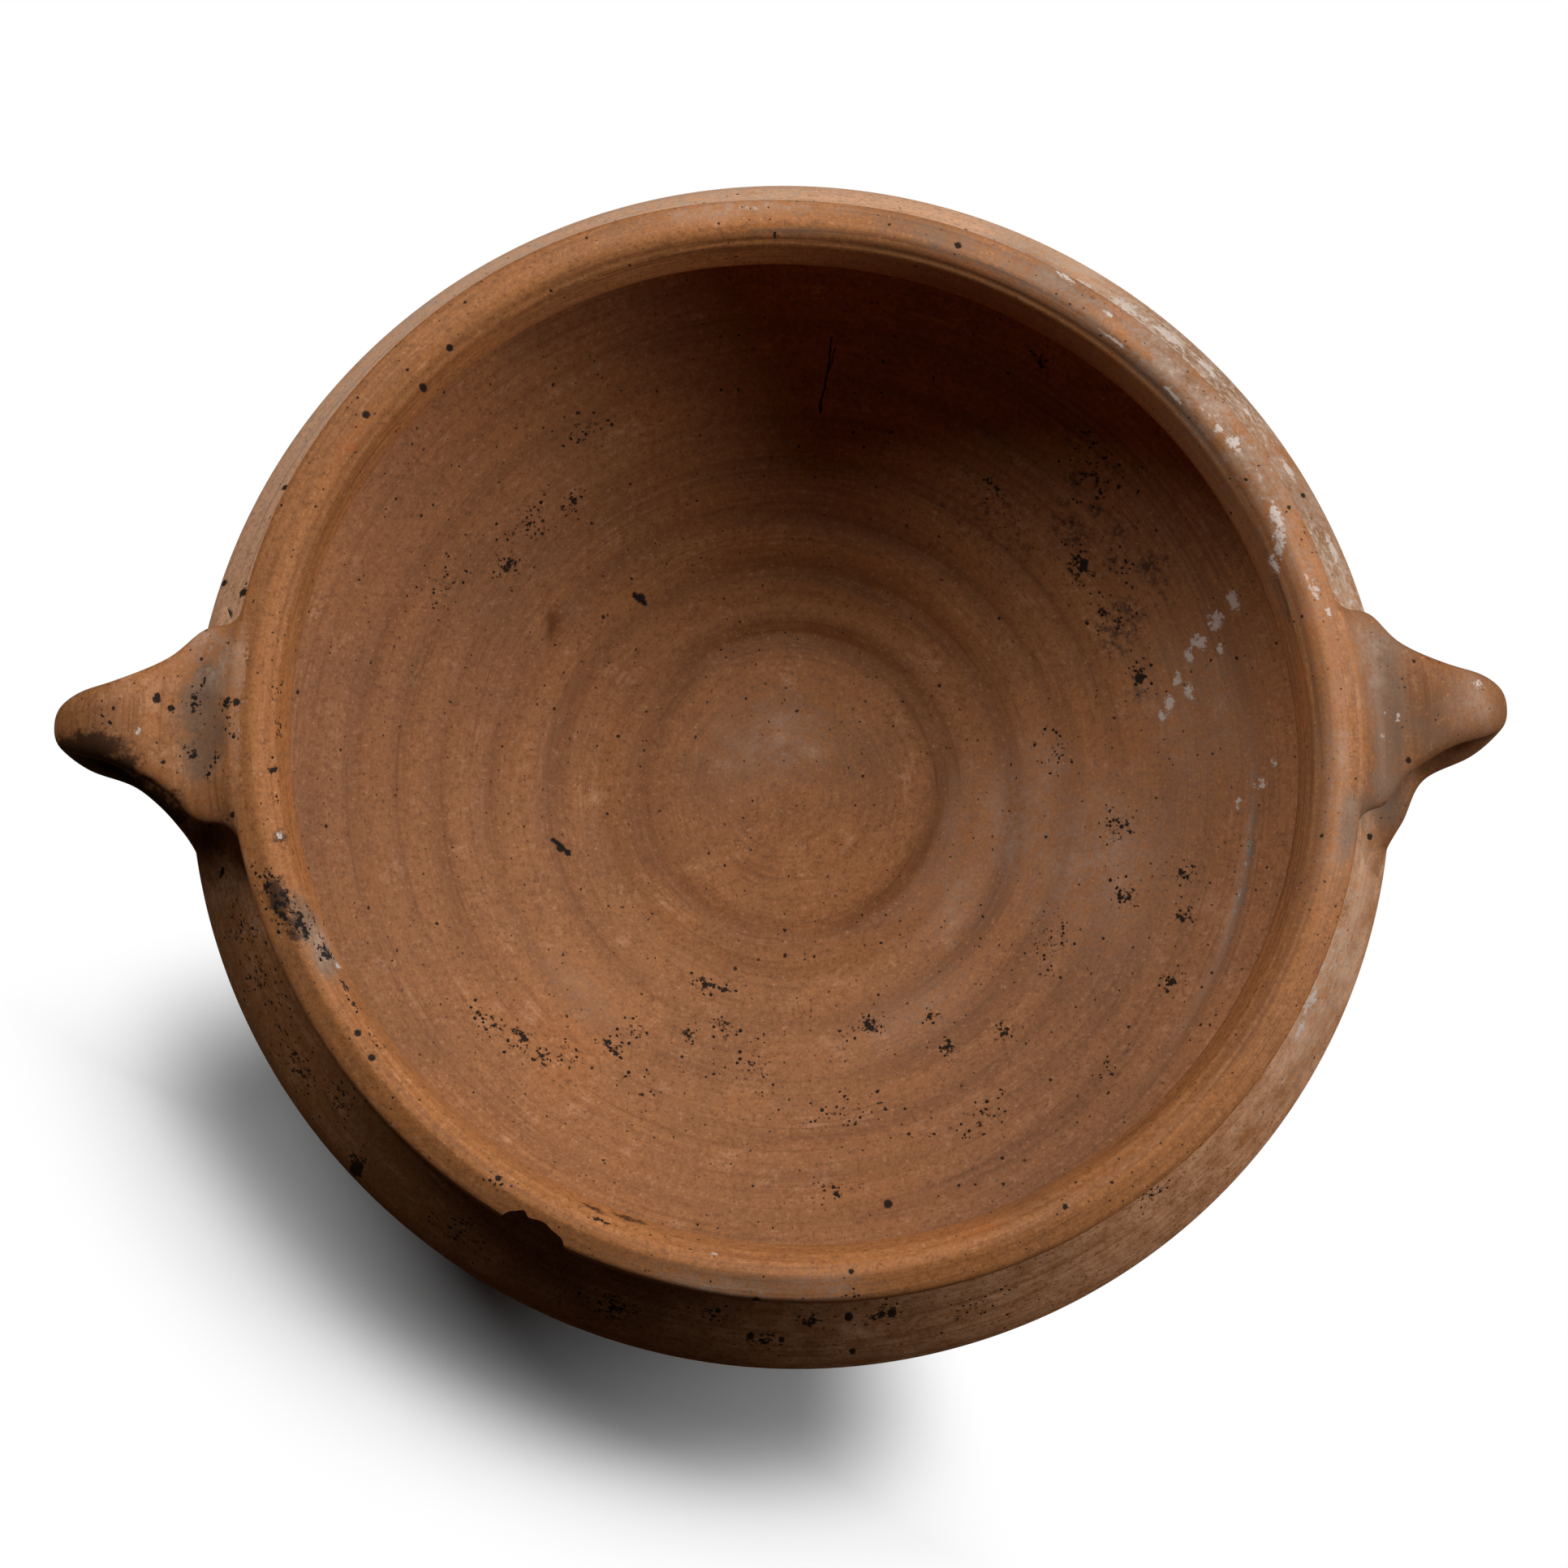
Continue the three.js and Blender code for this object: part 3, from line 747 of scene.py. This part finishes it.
def through(values, share):
    """A smooth value between the listed ones, by a curve through four of them."""
    values = np.array(values, float)
    low = int(min(max(math.floor(share), 0), len(values) - 2))
    t = share - low
    a, b, c, d = values[[max(low - 1, 0), low, low + 1, min(low + 2, len(values) - 1)]]
    return b + 0.5 * t * (c - a + t * (2 * a - 5 * b + 4 * c - d + t * (3 * (b - c) + d - a)))


def smoothed_on(corners, normals, reach):
    """Moves a strap's skin outwards near the bowl, by at most the reach, until both flow together."""
    halvings = 14
    low = np.zeros(len(corners))
    high = reach.copy()
    for _ in range(halvings):
        lift = (low + high) / 2
        away = off_bowl(corners + normals * lift[:, None])
        overlap = np.maximum(reach - np.abs(away - lift), 0)
        joined = np.minimum(away, lift) - overlap ** 2 / (4 * reach)
        low = np.where(joined < 0, lift, low)
        high = np.where(joined < 0, high, lift)
    return corners + normals * high[:, None]


def taper(share):
    return bar_width + (plate_width - bar_width) * share


def strap(name, node, azimuth, stand_off, foot_shift, sections=190, sides=84):
    """A handle from its root in the lip to its root in the shoulder. Each station is how far out, aside
    and high the middle of the strap lies, then its width, its thickness and its share of the dish."""
    bend = belly_radius + stand_off - bar_thickness / 2 - bend_radius
    plate_end = lip_radius + (bend - lip_radius) * 0.35
    middle = strap_foot + bend_radius
    flat, bar, r = strap_thickness, bar_thickness, bend_radius
    stations = [
        (lip_radius - root_depth, 0, strap_top + plate_rise, plate_width, flat, 0),
        (lip_radius, 0, strap_top + plate_rise * 0.7, plate_width, flat, 0.3),
        (plate_end, 0, strap_top, taper(0.93), flat, 1),
        (plate_end + (bend - plate_end) * 0.55, 0, strap_top, taper(0.5), flat, 0.7),
        (bend + r * 0.28, 0, strap_top - r * 0.05, taper(0.17), bar, 0.1),
        (bend + r * 0.78, 0, middle + r * 0.63, taper(0.02), bar, 0),
        (bend + r, 0, middle, bar_width * 0.84, bar, 0),
        (bend + r * 0.74, foot_shift / 2, middle - r * 0.67, taper(0.08), bar, 0),
        (bend + r * 0.1, foot_shift, strap_foot, taper(0.26), flat, 0),
        (belly_radius, foot_shift, strap_foot - 1 * mm, foot_width * 0.84, flat, 0),
        (belly_radius - root_depth, foot_shift, strap_foot - 2.5 * mm, foot_width, flat, 0),
        (belly_radius - root_depth * 1.5, foot_shift, strap_foot - 3.5 * mm, foot_width * 0.96, flat, 0),
    ]
    columns = list(zip(*stations))
    bpy.ops.object.select_all(action="DESELECT")
    bpy.ops.mesh.primitive_grid_add(x_subdivisions=sections, y_subdivisions=sides, size=2)
    piece = bpy.context.object
    piece.name = name
    sheet = corners_of(piece)
    shaped = np.empty_like(sheet)
    rings = {}
    for i, (u, v, _) in enumerate(sheet):
        key = round(u, 5)
        if key not in rings:
            share = (u + 1) / 2 * (len(stations) - 1)
            here = [through(column, share) for column in columns]
            ahead = [through(column, min(share + 0.02, len(stations) - 1)) for column in columns[:3]]
            behind = [through(column, max(share - 0.02, 0)) for column in columns[:3]]
            rings[key] = here, Vector(ahead) - Vector(behind)
        (cx, cy, cz, width, thickness, dish), forward = rings[key]
        up = Vector((-forward.z, 0, forward.x)).normalized()
        angle = (v + 1) * math.pi
        across = math.copysign(abs(math.cos(angle)) ** squareness, math.cos(angle))
        rise = math.copysign(abs(math.sin(angle)) ** squareness, math.sin(angle))
        lift = rise * thickness / 2 - dish * dish_depth * max(0, rise) * (1 - across * across)
        shaped[i] = (cx + up.x * lift, cy + across * width / 2, cz + up.z * lift)
    put_corners(piece, shaped)
    bpy.ops.object.mode_set(mode="EDIT")
    bpy.ops.mesh.select_all(action="SELECT")
    bpy.ops.mesh.remove_doubles(threshold=0.001 * mm)
    bpy.ops.mesh.select_all(action="DESELECT")
    bpy.ops.mesh.select_non_manifold()
    bpy.ops.mesh.fill()
    bpy.ops.mesh.select_all(action="SELECT")
    bpy.ops.mesh.normals_make_consistent(inside=False)
    bpy.ops.object.mode_set(mode="OBJECT")
    height = corners_of(piece)[:, 2]
    reach = np.interp(height, (strap_foot, strap_top), (foot_smoothed, plate_smoothed))
    piece.data.transform(Matrix.Rotation(math.radians(azimuth), 4, "Z"))
    normals = np.array([corner.normal for corner in piece.data.vertices])
    sunk = np.hypot(*corners_of(piece).T[:2]) - lip_radius
    reach *= np.where(height > joint_height, np.interp(sunk, plate_fades, (0.02, 1)), 1)
    reach *= np.interp(off_bowl(corners_of(piece)), root_fades, (0.02, 1))
    put_corners(piece, smoothed_on(corners_of(piece), normals, reach))
    smooth(piece, 60)
    placed = corners_of(piece)
    rooted = np.interp(off_bowl(placed), skin_blends, (1, 0))
    low_root = rooted * np.interp(placed[:, 2], (joint_height - 6 * mm, joint_height + 2 * mm), (1, 0))
    for layer, share in (("rooted", rooted), ("low_root", low_root)):
        piece.data.attributes.new(layer, "FLOAT", "POINT").data.foreach_set("value", share)
    painted(piece, "film", shoulder_film, low_root)
    painted(piece, "grey", shoulder_grey, low_root)
    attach(piece, "root")
    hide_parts(node)
    return piece


def handle_ground(clay, marks, warm, pale, stained):
    """The handle's own clay, which turns into the bowl's where the strap runs into it."""
    own = 1 - clay.layer("rooted")
    low = clay.layer("low_root")
    # At the low root the strap takes the shoulder's tones, painted light included.
    pallor_and_painted_light, browning_and_painted_light = shoulder_tones_and_light(clay)
    return fired_ground(clay, own * (warm - 0.6) + 0.6 - low * 0.3, own * pale + pallor_and_painted_light * low, marks,
                        stained=own * stained + browning_and_painted_light * low, brushed=0.25)


left_strap = strap("left_strap_handle", "handle_left", 177.9, 28.3 * mm, 0.5 * mm)
painted(left_strap, "grey", [
    (176.5, 130, 7, 4.5), (181, 129.5, 6, 3.6), (173.5, 129, 4, 3), (179, 126, 6, 4, 0.8),
    (178, 134, 6, 3, 0.6),
])
# Painted shade: the first five spots darken the bar's near side, turned from the lamps, over some real
# burning; the last two are soot smears on the plate.
painted(left_strap, "burnt_and_shade", [
    (180.2, 157, 3.8, 7), (180.2, 151, 3.8, 6), (181.8, 147, 3, 5), (183.4, 143, 2.6, 5),
    (185, 139, 2.6, 6, 0.9), (175.5, 128.5, 3, 3, 0.5), (179.5, 130, 3, 2, 0.5),
])
painted(left_strap, "soot", [
    (176, 124, 2, 2), (174, 129.5, 1.8, 1.1), (175.5, 139, 1.1, 1.1), (183, 127.5, 2, 0.9),
    (181, 125.5, 1.8, 0.9), (176.5, 136, 1, 1), (180, 116.5, 1.5, 1.5), (184, 114, 1.2, 0.8),
    (187, 112.6, 1, 0.7), (177.4, 111.5, 2, 0.6), (176, 131, 3, 2.4, 0.9), (181, 131, 2.4, 2, 0.8),
    (178, 121, 4, 2.4, 0.7), (186, 118, 3, 2, 0.7), (178, 150, 3, 2, 0.7),
])
painted(left_strap, "rust", [(172, 136, 5, 5, 0.8), (186, 135, 3, 8, 0.8), (183, 141, 2, 3, 0.8)])
painted(left_strap, "brown", [(178, 148, 6, 8, 0.8), (186, 128, 6, 14, 0.6), (180, 122, 20, 5, 0.3)])
painted(left_strap, "lime", [(178.9, 143, 1.3, 1.3, 0.8), (178.8, 149, 1.2, 1.2, 0.7)])
painted(left_strap, "film", [(172, 126, 7, 5, 0.7), (175, 122, 8, 4, 0.5), (170.5, 130, 5, 5, 0.7)])
left_marks = (
    (175.9, 139.1, 0.9), (176.6, 135.9, 0.7), (181.6, 137.3, 0.5), (175.9, 121.4, 0.8),
    (187.4, 122.8, 0.6),
)
clay = Clay("left_handle_clay")
left_strap.data.materials.append(clay.finish(*handle_ground(clay, left_marks, 0.6, 0.0, 0.15)))

right_strap = strap("right_strap_handle", "handle_right", 3.9, 23.6 * mm, -2.2 * mm)
painted(right_strap, "grey", [
    (9, 130, 7, 4, 0.8), (4.7, 130, 8, 4, 0.9), (0, 130, 8, 4, 0.9), (357, 129, 6, 4, 0.9),
    (353.5, 124.5, 5, 4, 0.8), (10, 136, 4, 8, 0.7), (2, 138, 9, 8, 0.55), (356, 133, 6, 6, 0.7),
    (4, 146, 10, 8, 0.35),
])
painted(right_strap, "lime", [
    (5.4, 150.2, 1.6, 1.6, 0.8), (3.3, 129, 1.2, 0.8, 0.8), (2.8, 132, 1.4, 1, 0.8),
    (1.1, 128.4, 1.4, 0.9, 0.8),
])
painted(right_strap, "film", [(4, 150, 7, 5, 0.4), (9, 127, 8, 5, 0.5), (5, 126, 6, 3, 0.3)])
painted(right_strap, "brown", [(4, 142, 30, 20, 0.7)])
right_marks = ((358.8, 133.9, 0.7), (352.6, 129.3, 0.7), (357.3, 117.6, 0.5), (352.7, 119.7, 0.5))
clay = Clay("right_handle_clay")
right_strap.data.materials.append(clay.finish(*handle_ground(clay, right_marks, -0.2, -0.1, 0.6)))


# Studio, not part of the bowl: a white table, four large soft lamps in an arc from the right round to the
# far left, and a surround that is white to the camera and nearly dark to the clay. The camera sees the
# bowl's shadow on the table fade into pure white, deepened close round the bowl by a painted shadow in
# the table's colour, and the table throws a weak warm light back.
bpy.ops.object.select_all(action="DESELECT")
table_width = 8
table_bounce = (0.12, 0.065, 0.03, 1)
bpy.ops.mesh.primitive_plane_add(size=table_width)
table = bpy.context.object
table.name = "studio_table"
paper = Clay("studio_paper")
seen = paper.node("LightPath", {}, {}, "Is Camera Ray")
lit = paper.node("BsdfDiffuse", {}, {"Color": table_bounce})
# Painted shadow: close round the bowl the table's colour is darker, deepening the bowl's shadow there.
near = paper.radius.fade(0.142, 0.172) * 0.95 + 0.75
grey = paper.node("CombineXYZ", {}, {0: near, 1: near, 2: near})
shown = paper.node("BsdfDiffuse", {}, {"Color": grey})
bright = paper.node("Emission", {}, {"Strength": 1.0})
far_off = paper.radius.fade(0.15, 0.196).most(paper.towards(240).fade(0.866, 0.669))
paper_seen = paper.node("MixShader", {}, {0: far_off, 1: shown, 2: bright})
paper_look = paper.node("MixShader", {}, {0: seen, 1: lit, 2: paper_seen})
surface = paper.tree.nodes.new("ShaderNodeOutputMaterial")
paper.tree.links.new(paper_look.socket, surface.inputs["Surface"])
table.data.materials.append(paper.material)

# The lamps: azimuth and elevation in degrees, and watts.
lamps = ((0, 30, 12.3), (27, 41, 10), (92, 46, 6), (126, 46, 12.2))
lamp_distance = 1.6
lamp_width = 0.75
for azimuth, elevation, energy in lamps:
    lamp = bpy.data.lights.new("soft_lamp", "AREA")
    lamp.shape = "DISK"
    lamp.size = lamp_width
    lamp.energy = energy
    key = bpy.data.objects.new("soft_lamp", lamp)
    bpy.context.collection.objects.link(key)
    turn, rise = math.radians(azimuth), math.radians(elevation)
    key.location = Vector((
        math.cos(turn) * math.cos(rise),
        math.sin(turn) * math.cos(rise),
        math.sin(rise),
    )) * lamp_distance
    key.rotation_euler = key.location.to_track_quat("Z", "Y").to_euler()
    key.visible_camera = False

sky_light = 0.001
world = bpy.data.worlds.new("surround")
bpy.context.scene.world = world
world.use_nodes = True
sky = world.node_tree
background = sky.nodes["Background"]
background.inputs["Color"].default_value = (1, 1, 1, 1)
rays = sky.nodes.new("ShaderNodeLightPath")
fill = sky.nodes.new("ShaderNodeMath")
fill.operation = "MAXIMUM"
fill.inputs[1].default_value = sky_light
either = sky.nodes.new("ShaderNodeMath")
either.operation = "MAXIMUM"
sky.links.new(rays.outputs["Is Camera Ray"], either.inputs[0])
sky.links.new(rays.outputs["Is Transmission Ray"], either.inputs[1])
sky.links.new(either.outputs[0], fill.inputs[0])
sky.links.new(fill.outputs[0], background.inputs["Strength"])

rim_target = Vector((-2.25 * mm, -8.0 * mm, lip_edge))
camera_tilt = math.radians(6.94)
camera_lean = math.radians(0.89)
camera_distance = 1.3
view = bpy.data.cameras.new("camera")
view.sensor_width = 36
view.lens = 136.9
eye = bpy.data.objects.new("camera", view)
bpy.context.collection.objects.link(eye)
sight = Vector((
    math.sin(camera_lean) * math.cos(camera_tilt),
    math.sin(camera_tilt),
    -math.cos(camera_lean) * math.cos(camera_tilt),
))
eye.location = rim_target - sight * camera_distance
eye.rotation_euler = (camera_tilt, -camera_lean, 0)
bpy.context.scene.camera = eye
bpy.context.scene.view_settings.view_transform = "Standard"
